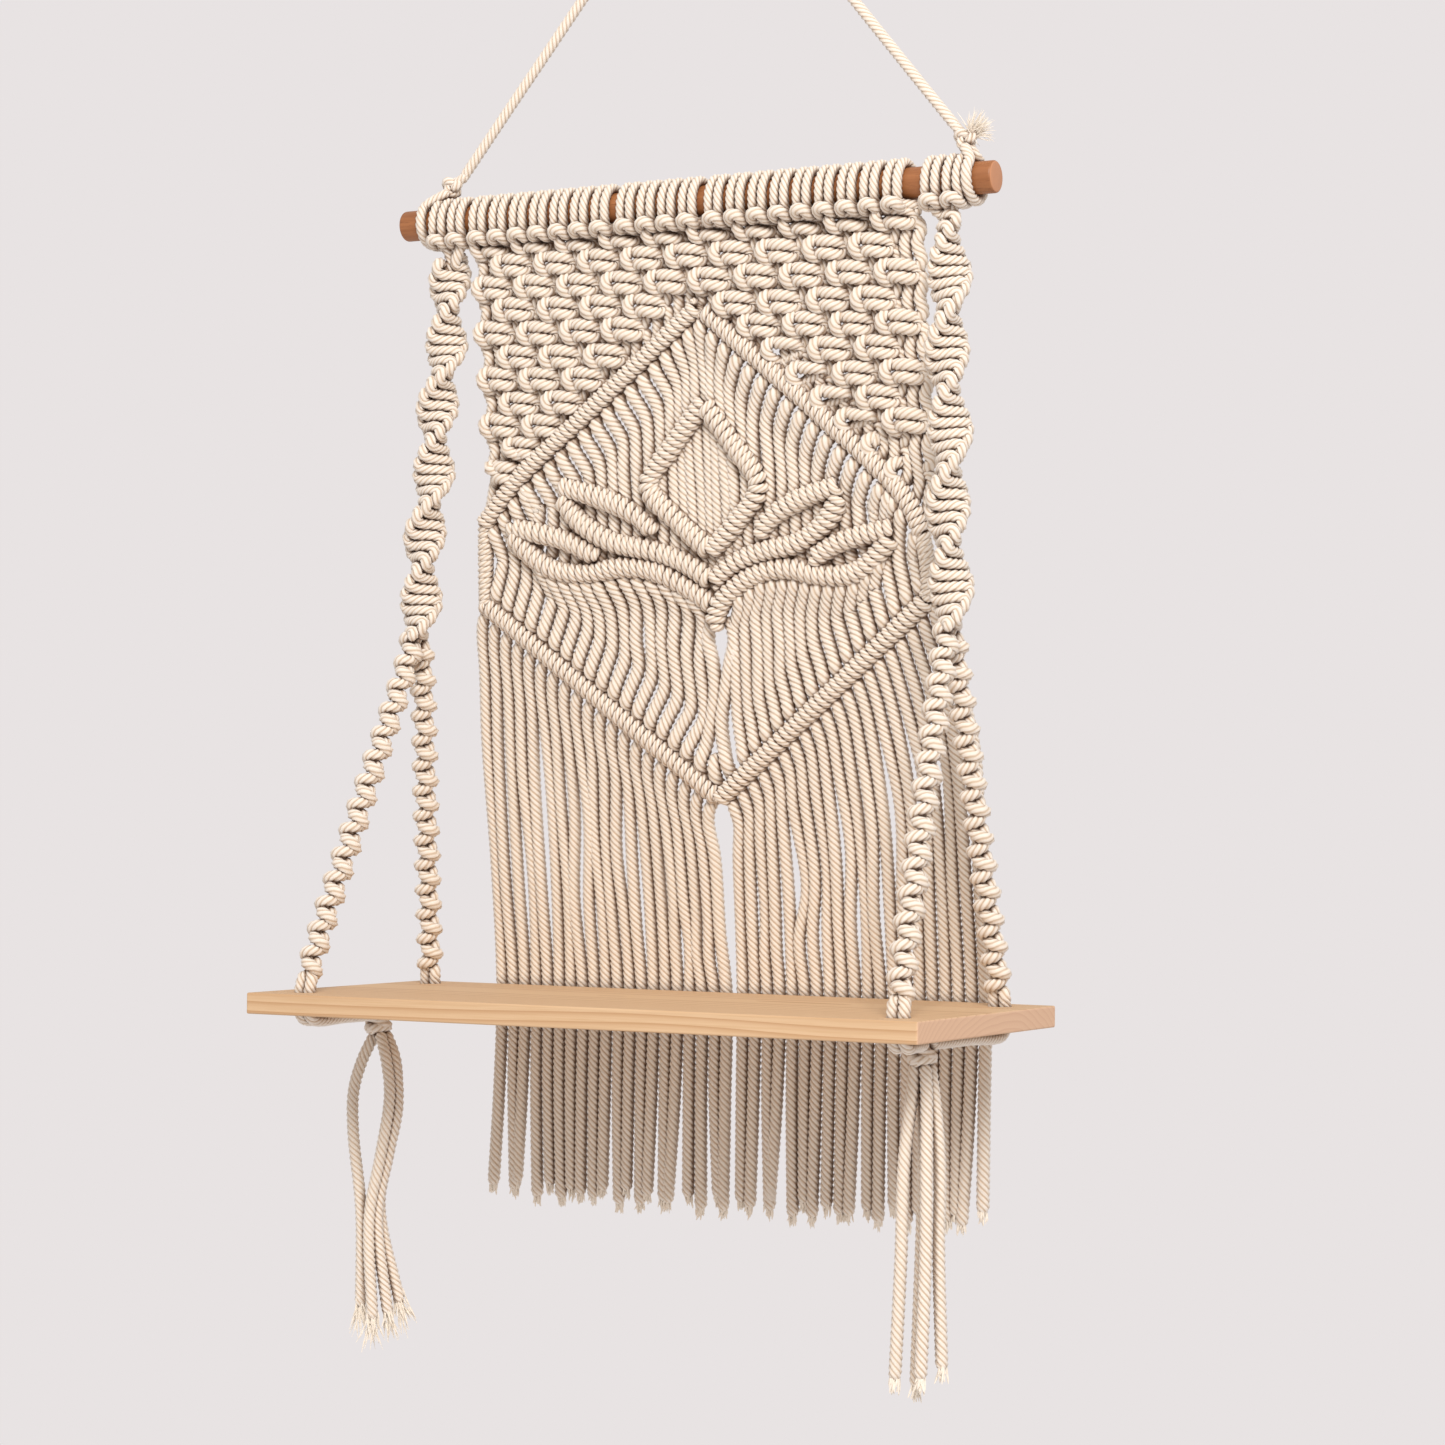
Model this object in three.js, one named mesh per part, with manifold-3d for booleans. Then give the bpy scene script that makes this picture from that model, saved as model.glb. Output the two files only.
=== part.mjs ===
// A macrame wall shelf: a knotted cotton hanging on a wooden rod, with a small board slung in front of it.
// Millimetres, +Z up, +X to the right, the front faces -Y.
// The origin is where the hanging cord lies over its hook, and all the rest hangs below it.

import * as THREE from 'three';
import { mergeVertices } from 'three/addons/utils/BufferGeometryUtils.js';
import Module from 'manifold-3d';

const wasm = await Module();
wasm.setup();

// The cord that everything is knotted from, and the room that separate pieces leave each other
const CORD = 5.4;
const GAP = 0.3;

// Wooden parts. The rod hangs below and a little in front of the hook.
const ROD = { length: 322, radius: 7.5, chamfer: 0.8, y: -15, z: -181 };
const BOARD = { width: 350, depth: 150, thick: 10, y: -46, top: -560, edge: 0.8 };
const HOLE = { x: 156, y: 54, radius: 6 };

// Loops round the rod: eight-sided rings whose flats clear it. The shoulder is each groove's share of a loop.
const LOOP = {
  bore: (ROD.radius + GAP) / Math.cos(Math.PI / 8), outer: 13.2, valley: 11.4, shoulder: 0.22, sides: 8 };

// The knotted panel. Depths are measured down from the rod's axis, and across from the panel's middle.
const PANEL = { x: 3.5, half: 122.5, lean: { y: -17, depth: 8 } };
const HEADS = { pitch: 12, groups: [[-10, -3], [-3, 1], [1, 10]], open: 2.6 };
const KNOTS = { across: 24.5, down: 11.35, first: 14.6, rows: 13, sheet: 4.6, raised: 3.6, flat: 0.1, selvage: 0.3 };
const BAR = { high: 4.4, thick: 3.5, back: 1.2, ridge: 18, groove: 0.82, slim: 0.92 };
const DIAMOND = { half: 120, apex: 49, side: 150, low: 190, foot: 285, turn: 125 };
const STRANDS = { count: 20, pitch: 12.2, wide: 10.6, thick: 4.6, wave: 3.2, step: 24, tuck: 2, sway: 24 };

// The flower inside the diamond, its right half: distance across and depth down, from its middle outwards
const FLOWER = {
  bud: [[0, 96], [16, 115], [31.5, 134], [16, 148], [0, 161.5]],
  petal_top: [[0, 168], [21, 157.5], [35, 146.5], [58, 136], [80, 128]],
  petal_under: [[0, 178], [15, 168], [33, 162], [54, 156], [66, 149.5], [80, 128]],
  leaf_top: [[55, 170], [67, 162], [79, 157], [93, 153], [107, 151]],
  leaf_under: [[0, 193], [14, 181], [32, 173], [47, 171.5], [62, 174], [77, 175.5], [92, 171], [107, 151]],
};

// The fringe below the diamond passes behind the board. Its outermost ends hang a little higher.
const FRINGE = {
  count: 40, half: 133.5, middle: 4.6, root: 3.1, end: 483, uneven: 3.5, rise: 8, strip: 1.8, overhang: 4, lap: 1,
  clear: 3, spread: 60 };

// The straps on each side: where they leave the rod, where they split in two, and how tightly they turn
const STRAPS = {
  left: { side: -1, rod: -131, split: [-141, -32, -390], turn: 32 },
  right: { side: 1, rod: 137.5, split: [147.5, -32, -390], turn: 36 },
};
const SENNIT = { wide: 8.8, thick: 4.8, rung: 7.5, groove: 0.92, loops: 20, forward: 2, below: 3 };
const CHAIN = { radius: 5, sway: 1.5, bump: 12.7, drop: 1.2, lead: 5, above: 2 };
const STEM = { wide: 5, thick: 2.7, bend: 3.3 };

// What hangs from the knot under each end of the board: tail ends relative to the knot
const TASSELS = {
  left: {
    knot: [-154, -41],
    tails: [
      { bow: [-11, 0], end: [2, -3], length: 131 },
      { bow: [3, -4], end: [6, -7], length: 136 },
      { bow: [5, 1], end: [9, 0], length: 134 },
      { bow: [3, 6], end: [8, 7], length: 129 },
    ],
  },
  right: {
    knot: [154, -71],
    tails: [
      { bow: [-6, -5], end: [-9, -6], length: 135 },
      { bow: [-1, 5], end: [-3, 3], length: 139 },
      { bow: [4, -3], end: [3, -5], length: 134 },
      { bow: [7, 4], end: [10, 2], length: 130 },
    ],
  },
};
const KNOT = { radius: 7, waist: 6, high: 15, shoulder: 2.2, gather: 2.4, sunk: 4 };

// The hanging cord: how each end is tied round the rod, and the route from one knot over the hook to the other
const HANGER = {
  left: { loop: -146, knot: [-134, -15, -163], size: [7.4, 6, 5.4], tuft: [-5, -1, 3] },
  right: { loop: 152.5, knot: [148.5, -15, -160], size: [6.6, 6.2, 7], tuft: [10, 0, 9] },
};
const HANGING_ROUTE = [
  [-128.1, -14.9, -159.3], [-114.2, -13.4, -140.9], [-100.9, -11.9, -123.2], [-87.5, -10.4, -105.6],
  [-74.2, -8.8, -87.9], [-60.8, -7.3, -70.2], [-47.5, -5.8, -52.6], [-34.1, -4.2, -34.9],
  [-20.8, -2.4, -17.3], [-9.4, -0.8, -2.6], [0, 0, 2.7], [9.6, -0.8, -2.6],
  [21.9, -2.4, -16.9], [36.1, -4.1, -33.6], [50.2, -5.6, -50.3], [64.3, -7.2, -66.9],
  [78.5, -8.8, -83.6], [92.6, -10.3, -100.3], [106.8, -11.8, -117], [120.9, -13.3, -133.6],
  [141, -14.9, -157.2],
];

const FRONT = new THREE.Vector3(0, -1, 0);
const ACROSS = new THREE.Vector3(1, 0, 0);

const material = (color, roughness) => new THREE.MeshStandardMaterial({ color, roughness, metalness: 0 });
const MATERIALS = {
  cotton: material('#f0e6d8', 0.95),
  pine: material('#e2bd93', 0.6),
  beech: material('#b8794a', 0.55),
};

// Closed meshes whose points are shared, so that they can be joined and cut
function closed(geometry) {
  geometry.deleteAttribute('normal');
  geometry.deleteAttribute('uv');
  return mergeVertices(geometry, 1e-4);
}

function toSolid(geometry) {
  const merged = closed(geometry);
  const mesh = new wasm.Mesh({
    numProp: 3,
    vertProperties: new Float32Array(merged.attributes.position.array),
    triVerts: new Uint32Array(merged.index.array),
  });
  return new wasm.Manifold(mesh);
}

function toGeometry(solid) {
  const mesh = solid.getMesh();
  const geometry = new THREE.BufferGeometry();
  geometry.setAttribute('position', new THREE.BufferAttribute(new Float32Array(mesh.vertProperties), 3));
  geometry.setIndex(new THREE.BufferAttribute(new Uint32Array(mesh.triVerts), 1));
  return geometry;
}

function fuse(geometries) {
  const [first, ...rest] = geometries.map(toSolid);
  return rest.reduce((whole, next) => whole.add(next), first);
}

// A cylinder bent along a curve. shape(t) gives its half sizes outwards, the way of `front`, and to the side of that,
// with a turn about the curve and a shift outwards.
function alongRoute(curve, sides, steps, shape, front = FRONT) {
  const turned = sides === 4 ? Math.PI / 4 : 0;
  const corner = sides === 4 ? Math.SQRT2 : 1;
  const geometry = closed(new THREE.CylinderGeometry(1, 1, 1, sides, steps, false, turned));
  const points = geometry.attributes.position;
  for (let i = 0; i < points.count; i++) {
    const t = Math.min(Math.max(points.getY(i) + 0.5, 0), 1);
    const { thick, wide, turn = 0, shift = 0 } = shape(t);
    const centre = curve.getPointAt(t);
    const ahead = curve.getTangentAt(t);
    const out = front.clone().addScaledVector(ahead, -front.dot(ahead)).normalize();
    const side = out.clone().cross(ahead);
    const out_size = points.getX(i) * corner;
    const side_size = points.getZ(i) * corner;
    const out_by = out_size * thick * Math.cos(turn) - side_size * wide * Math.sin(turn) + shift;
    const side_by = out_size * thick * Math.sin(turn) + side_size * wide * Math.cos(turn);
    const place = centre.addScaledVector(out, out_by).addScaledVector(side, side_by);
    points.setXYZ(i, place.x, place.y, place.z);
  }
  return geometry;
}

const curveThrough = (points) => new THREE.CatmullRomCurve3(
  points.map((p) => new THREE.Vector3(...p)), false, 'centripetal');

// Where the middle of the hanging cloth lies: it leans back from the rod to pass behind the board
const BEHIND = BOARD.y + BOARD.depth / 2 + FRINGE.clear + CORD / 2;
const BOARD_DEPTH = ROD.z - BOARD.top;

function clothY(depth) {
  const { y, depth: start } = PANEL.lean;
  const t = Math.min((depth - start) / (BOARD_DEPTH - start), 1);
  return y + (BEHIND - y) * t;
}

const onCloth = (across, depth) => [PANEL.x + across, clothY(depth), ROD.z - depth];

// Bands of loops round the rod, as a turned ring with a groove between neighbours
function rodLoops(from, to, bands) {
  const step = (to - from) / bands;
  const profile = [[LOOP.bore, from]];
  const shoulder = step * LOOP.shoulder;
  for (let i = 0; i < bands; i++) {
    const start = from + i * step;
    profile.push([LOOP.valley, start], [LOOP.outer, start + shoulder], [LOOP.outer, start + step - shoulder]);
  }
  profile.push([LOOP.valley, to], [LOOP.bore, to], [LOOP.bore, from]);
  const ring = new THREE.LatheGeometry(profile.map(([r, x]) => new THREE.Vector2(r, x)), LOOP.sides);
  ring.rotateZ(-Math.PI / 2);
  ring.rotateX(Math.PI / LOOP.sides);
  ring.translate(0, ROD.y, ROD.z);
  return ring;
}

function rod() {
  const { length, radius, chamfer } = ROD;
  const end = length / 2;
  const profile = [[0, -end], [radius - chamfer, -end], [radius, chamfer - end],
    [radius, end - chamfer], [radius - chamfer, end], [0, end]];
  const geometry = new THREE.LatheGeometry(profile.map(([r, x]) => new THREE.Vector2(r, x)), 24);
  geometry.rotateZ(-Math.PI / 2);
  geometry.translate(0, ROD.y, ROD.z);
  return closed(geometry);
}

function shelfBoard() {
  const { width, depth, thick, y, top, edge } = BOARD;
  const w = width / 2;
  const d = depth / 2;
  const outline = new THREE.Shape([
    new THREE.Vector2(edge - w, -d), new THREE.Vector2(w - edge, -d), new THREE.Vector2(w, edge - d),
    new THREE.Vector2(w, d - edge), new THREE.Vector2(w - edge, d), new THREE.Vector2(edge - w, d),
    new THREE.Vector2(-w, d - edge), new THREE.Vector2(-w, edge - d)]);
  for (const side_x of [-1, 1]) {
    for (const side_y of [-1, 1]) {
      const hole = new THREE.Path();
      hole.absarc(side_x * HOLE.x, side_y * HOLE.y, HOLE.radius, 0, 2 * Math.PI, true);
      outline.holes.push(hole);
    }
  }
  const geometry = new THREE.ExtrudeGeometry(outline, { depth: thick, bevelEnabled: false, curveSegments: 6 });
  geometry.translate(0, y, top - thick);
  return closed(geometry);
}

// Alternating square knots, raised on both faces of a thin sheet, four cords to a knot
function knotHeight(across, depth) {
  const row = Math.round((depth - KNOTS.first) / KNOTS.down);
  const from_row = Math.abs(depth - KNOTS.first - row * KNOTS.down) / (KNOTS.down / 2);
  const stagger = row % 2 === 0 ? 0.5 : 0;
  const cell = across / KNOTS.across - stagger;
  const from_knot = Math.abs(cell - Math.round(cell)) * 2;
  const last = stagger === 0 && Math.abs(across) > PANEL.half - KNOTS.across / 2 + 0.1;
  const plump = last ? KNOTS.selvage : Math.sqrt(Math.max(0, 1 - from_knot ** 3));
  return KNOTS.raised * Math.max(KNOTS.flat, plump * (1 - 0.8 * from_row ** 2));
}

function squareKnots() {
  const high = KNOTS.down * KNOTS.rows;
  const start = KNOTS.first - KNOTS.down / 2;
  const columns = Math.round(4 * PANEL.half / KNOTS.across);
  const sheet = closed(new THREE.BoxGeometry(2 * PANEL.half, 2, high, columns, 1, 2 * KNOTS.rows));
  const points = sheet.attributes.position;
  for (let i = 0; i < points.count; i++) {
    const across = points.getX(i);
    const depth = start + high / 2 - points.getZ(i);
    const face = Math.sign(points.getY(i));
    const [x, y, z] = onCloth(across, depth);
    points.setXYZ(i, x, y + face * (KNOTS.sheet / 2 + knotHeight(across, depth)), z);
  }
  return toSolid(sheet);
}

// Everything on one side of the diamond's upper edge, as a thick slab to cut with
function aboveDiamond() {
  const { half, apex, side } = DIAMOND;
  const wide = PANEL.half + 1;
  const thick = 120;
  const slope = (side - apex) / half;
  const outline = new THREE.Shape([
    new THREE.Vector2(-wide, 0), new THREE.Vector2(-wide, -apex - slope * wide),
    new THREE.Vector2(0, -apex), new THREE.Vector2(wide, -apex - slope * wide), new THREE.Vector2(wide, 0)]);
  const slab = new THREE.ExtrudeGeometry(outline, { depth: thick, bevelEnabled: false });
  slab.rotateX(Math.PI / 2);
  slab.translate(PANEL.x, thick / 2, ROD.z);
  return toSolid(slab);
}

// A bar of double half hitches, ridged by its wraps, on the front of the strands that it ties together
function hitchBar(points, size = 1) {
  const curve = curveThrough(points.map(([across, depth]) => onCloth(across, depth)));
  const ridges = Math.max(2, Math.round(curve.getLength() / BAR.ridge));
  const steps = ridges * 2;
  const shape = (t) => {
    const ridge = Math.round(t * steps) % 2 === 0 ? BAR.groove : 1;
    const thick = BAR.thick * ridge * size;
    return { thick, wide: BAR.high * ridge * size, shift: BAR.back + thick };
  };
  return alongRoute(curve, 4, steps, shape);
}

const mirrored = (points) => points.map(([across, depth]) => [-across, depth]);

function flowerBars() {
  const rows = Object.values(FLOWER);
  return rows.flatMap((points) => [hitchBar(points, BAR.slim), hitchBar(mirrored(points), BAR.slim)]);
}

function diamondBars() {
  const { half, apex, side, low, foot, turn } = DIAMOND;
  const middle = (side + low) / 2;
  const upper = [[0, apex], [half / 2, (apex + side) / 2], [half, side]];
  const edge = [[half, side], [turn, middle], [half, low]];
  const lower = [[half, low], [half / 2, (low + foot) / 2], [0, foot]];
  return [upper, edge, lower].flatMap((points) => [hitchBar(points), hitchBar(mirrored(points))]);
}

const upperEdge = (across) => DIAMOND.apex + (DIAMOND.side - DIAMOND.apex) * Math.abs(across) / DIAMOND.half;
const lowerEdge = (across) => DIAMOND.foot - (DIAMOND.foot - DIAMOND.low) * Math.abs(across) / DIAMOND.half;

// The free strands inside the diamond sway from side to side on their way down
function strandRoute(across) {
  const start = upperEdge(across) + STRANDS.tuck;
  const end = lowerEdge(across) - STRANDS.tuck;
  const turns = Math.max(3, Math.round((end - start) / STRANDS.step));
  const points = [];
  for (let i = 0; i <= turns; i++) {
    const t = i / turns;
    const sway = STRANDS.wave * Math.sin(2 * Math.PI * t) * Math.sin(across / STRANDS.sway);
    points.push(onCloth(across + sway, start + (end - start) * t));
  }
  return { curve: curveThrough(points), turns };
}

function innerStrands() {
  const strands = [];
  for (let i = 0; i < STRANDS.count; i++) {
    const { curve, turns } = strandRoute((i - (STRANDS.count - 1) / 2) * STRANDS.pitch);
    const shape = () => ({ thick: STRANDS.thick / 2, wide: STRANDS.wide / 2 });
    strands.push(alongRoute(curve, 4, turns, shape));
  }
  return strands;
}

function knottedPanel() {
  const { pitch, groups, open } = HEADS;
  const loops = groups.map(([from, to]) => rodLoops(from * pitch + open / 2, to * pitch - open / 2, to - from));
  const knots = squareKnots().intersect(aboveDiamond());
  return toGeometry(fuse([...loops, ...diamondBars(), ...flowerBars(), ...innerStrands()]).add(knots));
}

// The strip that holds the fringe's roots follows the diamond's lower edge
function fringeStrip() {
  const { half, low, foot } = DIAMOND;
  const { strip, overhang, lap } = FRINGE;
  const slope = (foot - low) / half;
  const below = (BAR.high + GAP + strip) * Math.hypot(1, slope);
  const depthAt = (out) => foot + below - slope * out;
  const shape = () => ({ thick: CORD / 2, wide: strip });
  const leg = (side) => alongRoute(curveThrough([
    onCloth(side * (half + overhang), depthAt(half + overhang)), onCloth(-side * lap, depthAt(-lap))]), 4, 2, shape);
  return { legs: [leg(-1), leg(1)], below };
}

function fringe() {
  const { count, half, middle, end, uneven, rise, spread } = FRINGE;
  const { legs, below } = fringeStrip();
  const strands = [];
  for (let i = 0; i < count; i++) {
    const side = i < count / 2 ? -1 : 1;
    const place = (Math.abs(i - (count - 1) / 2) - 0.5) / (count / 2 - 1);
    const low = middle + (half - middle) * place;
    const root = FRINGE.root + (DIAMOND.half - FRINGE.root) * place;
    const start = lowerEdge(root) + below;
    const stop = end + uneven * Math.sin(i * 2.7) - rise * Math.max(0, place - 0.8);
    const route = curveThrough([
      onCloth(side * root, start), onCloth(side * low, start + spread), onCloth(side * low, BOARD_DEPTH),
      onCloth(side * low, stop)]);
    strands.push(alongRoute(route, 3, 5, () => ({ thick: CORD / 2, wide: CORD / 2 })));
  }
  return toGeometry(fuse([...legs, ...strands]));
}

// A spiral of half knots from the rod to where the strap splits
function upperStrap({ rod: x, split, turn }) {
  const { wide, thick, rung, groove, loops, forward, below } = SENNIT;
  const start = [x, ROD.y - forward, ROD.z - LOOP.bore - below];
  const curve = new THREE.LineCurve3(new THREE.Vector3(...start), new THREE.Vector3(...split));
  const length = curve.getLength();
  const steps = Math.round(length / rung);
  const shape = (t) => {
    const size = Math.round(t * steps) % 2 === 0 ? groove : 1;
    const angle = (1 - t) * length * Math.PI / turn + Math.PI / 2;
    return { thick: thick * size, wide: wide * size, turn: angle };
  };
  const spiral = alongRoute(curve, 6, steps, shape);
  return toGeometry(fuse([rodLoops(x - loops / 2, x + loops / 2, 2), spiral]));
}

// A chain of half hitches from the split down to the board, through its hole and under it to the tassel's knot
function lowerStrap({ side, split }, tassel, towards) {
  const [x, y, z] = split;
  const hole_y = BOARD.y + towards * HOLE.y;
  const under = BOARD.top - BOARD.thick - GAP - STEM.thick;
  const [knot_x, knot_y] = tassel.knot;
  const hole_x = side * HOLE.x;
  const start = [x, y + towards * (CHAIN.radius + GAP / 2), z - CHAIN.drop];
  const lead = [x, start[1], start[2] - CHAIN.lead];
  const hole = [hole_x, hole_y, BOARD.top + CHAIN.above];
  const stop_y = knot_y + towards * (KNOT.radius + GAP);
  const middle = start.map((value, axis) => (value + hole[axis]) / 2);
  const curve = curveThrough([
    start, lead, middle, hole, [hole_x, hole_y, BOARD.top - BOARD.thick / 2], [hole_x, hole_y, under + STEM.bend],
    [hole_x, hole_y - towards * STEM.bend, under], [(hole_x + knot_x) / 2, (hole_y + stop_y) / 2, under],
    [knot_x, stop_y, under]]);
  const length = curve.getLength();
  const steps = Math.round(length / (CHAIN.bump / 2));
  const chain = new THREE.Vector3(...start).distanceTo(new THREE.Vector3(...hole)) / length;
  const shape = (t) => {
    if (t > chain) return { thick: STEM.wide, wide: STEM.thick };
    const bump = Math.round(t * steps) % 2 === 0 ? 1 : -1;
    return { thick: CHAIN.radius, wide: CHAIN.radius, shift: CHAIN.sway * bump };
  };
  return alongRoute(curve, 5, steps, shape, ACROSS);
}

function tassel({ knot: [x, y], tails }) {
  const top = BOARD.top - BOARD.thick - GAP;
  const { radius, waist, high, shoulder, gather, sunk } = KNOT;
  const profile = [[0, -high], [waist, -high], [radius, shoulder - high], [radius, -high * 0.6], [waist, -high / 2],
    [radius, -high * 0.4], [radius, -shoulder], [waist, 0], [0, 0]];
  const knot = new THREE.LatheGeometry(profile.map(([r, z]) => new THREE.Vector2(r, z)), 8);
  knot.rotateX(Math.PI / 2);
  knot.translate(x, y, top);
  const strands = tails.map(({ bow, end, length }) => {
    const from = [x + Math.sign(bow[0]) * gather, y + Math.sign(bow[1]) * gather, top - high + sunk];
    const route = curveThrough([
      from, [x + bow[0] * 0.9, y + bow[1], top - high - length * 0.3],
      [x + bow[0], y + bow[1], top - high - length * 0.6], [x + end[0], y + end[1], top - high - length]]);
    return alongRoute(route, 4, 6, () => ({ thick: CORD / 2, wide: CORD / 2 }));
  });
  return toGeometry(fuse([knot, ...strands]));
}

// A turn of cord round the rod, tied off in a knot on top with its cut end sticking out
function hangerKnot({ loop, knot: [x, y, z], size, tuft }) {
  const half = CORD / 2;
  const turn_round = rodLoops(loop - half, loop + half, 1);
  const lump = new THREE.SphereGeometry(1, 8, 6);
  lump.scale(...size);
  lump.translate(x, y, z);
  const link = curveThrough([[loop, ROD.y, ROD.z + LOOP.bore + half], [(loop + x) / 2, y, z - half], [x, y, z]]);
  const end = curveThrough([[x, y, z], [x + tuft[0], y + tuft[1], z + tuft[2]]]);
  const round = () => ({ thick: half, wide: half });
  return toGeometry(fuse([turn_round, lump, alongRoute(link, 6, 3, round), alongRoute(end, 6, 2, round)]));
}

function hangingCord() {
  const section = new THREE.Shape();
  section.absarc(0, 0, CORD / 2, 0, 2 * Math.PI, false);
  const settings = { steps: 28, extrudePath: curveThrough(HANGING_ROUTE), curveSegments: 4, bevelEnabled: false };
  return closed(new THREE.ExtrudeGeometry(section, settings));
}

const shelf = new THREE.Group();

function addPiece(name, geometry, finish) {
  const piece = new THREE.Mesh(geometry, MATERIALS[finish]);
  piece.name = name;
  shelf.add(piece);
}

addPiece('rod', rod(), 'beech');
addPiece('shelf_board', shelfBoard(), 'pine');
addPiece('hanging_cord', hangingCord(), 'cotton');
addPiece('knotted_panel', knottedPanel(), 'cotton');
addPiece('fringe', fringe(), 'cotton');
for (const side of ['left', 'right']) {
  addPiece(`hanger_knot_${side}`, hangerKnot(HANGER[side]), 'cotton');
  addPiece(`strap_upper_${side}`, upperStrap(STRAPS[side]), 'cotton');
  addPiece(`strap_front_${side}`, lowerStrap(STRAPS[side], TASSELS[side], -1), 'cotton');
  addPiece(`strap_back_${side}`, lowerStrap(STRAPS[side], TASSELS[side], 1), 'cotton');
  addPiece(`tassel_${side}`, tassel(TASSELS[side]), 'cotton');
}

export default shelf;
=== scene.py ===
# A macrame wall shelf: each cord laid along its own way through the knots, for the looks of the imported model.
# Sizes are in millimetres, as in the part's source, and turn to metres where a mesh is made.

import math

import bpy
import numpy as np
from mathutils import Matrix


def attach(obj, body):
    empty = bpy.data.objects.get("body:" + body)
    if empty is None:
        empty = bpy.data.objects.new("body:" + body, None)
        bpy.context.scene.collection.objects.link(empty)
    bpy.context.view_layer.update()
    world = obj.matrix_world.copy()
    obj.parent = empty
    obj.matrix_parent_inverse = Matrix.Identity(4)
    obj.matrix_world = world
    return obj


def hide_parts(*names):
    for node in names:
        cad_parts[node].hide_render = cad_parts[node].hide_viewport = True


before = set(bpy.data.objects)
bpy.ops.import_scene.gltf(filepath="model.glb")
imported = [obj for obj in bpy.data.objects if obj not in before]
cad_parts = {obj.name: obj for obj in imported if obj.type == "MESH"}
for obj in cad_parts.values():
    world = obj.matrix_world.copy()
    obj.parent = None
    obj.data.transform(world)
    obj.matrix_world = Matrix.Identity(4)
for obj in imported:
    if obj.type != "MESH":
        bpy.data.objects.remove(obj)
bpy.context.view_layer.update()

random = np.random.default_rng(11)

# The cord is five yarns twisted together, one turn in 15 mm. Its radius is least where it is pulled tight
# round the rod, and grows from the hanging rope and the tails to the knots, the fringe and the free cords.
CORD = {
    "radius": 2.7, "tight": 2.5, "tail": 3.05, "slack": 3.25, "hanging": 3.35, "free": 3.75,
    "yarns": 5, "groove": 0.78, "lay": 15.0, "step": 1.3,
}
GAP = 0.3

# Wooden parts. The rod grips cord as close to its axis as the first distance, and not past the second.
ROD = {
    "length": 322, "radius": 7.5, "y": -15, "z": -181, "ease": 1.2, "grip": (12, 18),
    "sides": 56, "rings": 9, "clear": 20,
}
BOARD = {"width": 350, "depth": 150, "thick": 10, "y": -46, "top": -560, "ease": 0.8}
HOLE = {"x": 156, "y": 54, "radius": 6, "sides": 48}

# The knotted panel. Depths go down from the rod's axis, and across goes from the panel's middle.
PANEL = {"x": 3.5, "front": -17, "start": 8}
HEADS = {"pitch": 12, "groups": [(-10, -3), (-3, 1), (1, 10)], "open": 2.6}

# Square knots: their repeat across and down, how far their rows drop towards the right once they settle, and
# how uneven they are. A knot needs room above the diamond, a selvage cord that passes straight by needs plain
# room, and each cord has a lead without knots before the diamond's bar.
KNOTS = {
    "across": 24.5, "down": 11.35, "first": 14.6, "rows": 13, "slope": 0.031, "settle": 4,
    "room": 7, "plain_room": 10, "lead": 6, "selvage": 1.2, "plain_out": 0.6, "uneven": 0.35,
}

# The cords where they meet the diamond, and how they spread there on each side
CORDS = {"count": 40, "pitch": 6.1, "left": 1.05, "right": 0.965}

# A bar of double half hitches: the radius of its coil and of its cord, the coil's pitch, how far its middle
# stands out of the cloth, and how uneven its turns and its thickness are from one mark to the next
BAR = {
    "coil": 3.3, "cord": 2.35, "pitch": 3.9, "out": 4.4,
    "step": 0.28, "mark": 9, "uneven": 0.09, "swell": 0.05,
}

# The diamond's bars on each side of the panel, as (across, depth): from its top, down its side, to its foot
DIAMOND = {
    "arm_left": [(3, 50), (-60, 96), (-104, 128), (-124.5, 149)],
    "arm_right": [(5, 52), (55, 95), (100, 136), (110, 149), (114, 160)],
    "side_left": [(-124.5, 149), (-126.5, 176), (-127, 189)],
    "side_right": [(114, 160), (116.5, 176), (116, 191)],
    "foot_left": [(-127, 189), (0, 285)],
    "foot_right": [(116, 191), (0, 285)],
}
BAR_SIZES = {"arm": 0.9, "side": 0.72, "foot": 0.95}

# The flower inside the diamond, its right half, from the middle outwards: a bud between two petals, and two
# leaves below them. It is set a little askew. The right leaf runs on past the middle, over the left one.
FLOWER = {
    "bud": [(0, 96), (16, 115), (30, 135), (16, 152), (0, 166)],
    "petal_top": [(29, 157), (36, 150), (54, 141), (76, 135)],
    "petal_low": [(0, 181), (11, 173), (30, 166), (50, 162), (66, 153), (76, 141)],
    "leaf_top": [(59, 169), (74, 161.5), (88, 158), (104, 155)],
    "leaf_low": [(0, 192), (12, 184), (28, 176), (46, 174), (64, 177), (84, 175), (104, 159)],
}
FLOWER_PLACE = {"shift": 3, "fade": 40, "tail": (-1, 202)}

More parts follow.
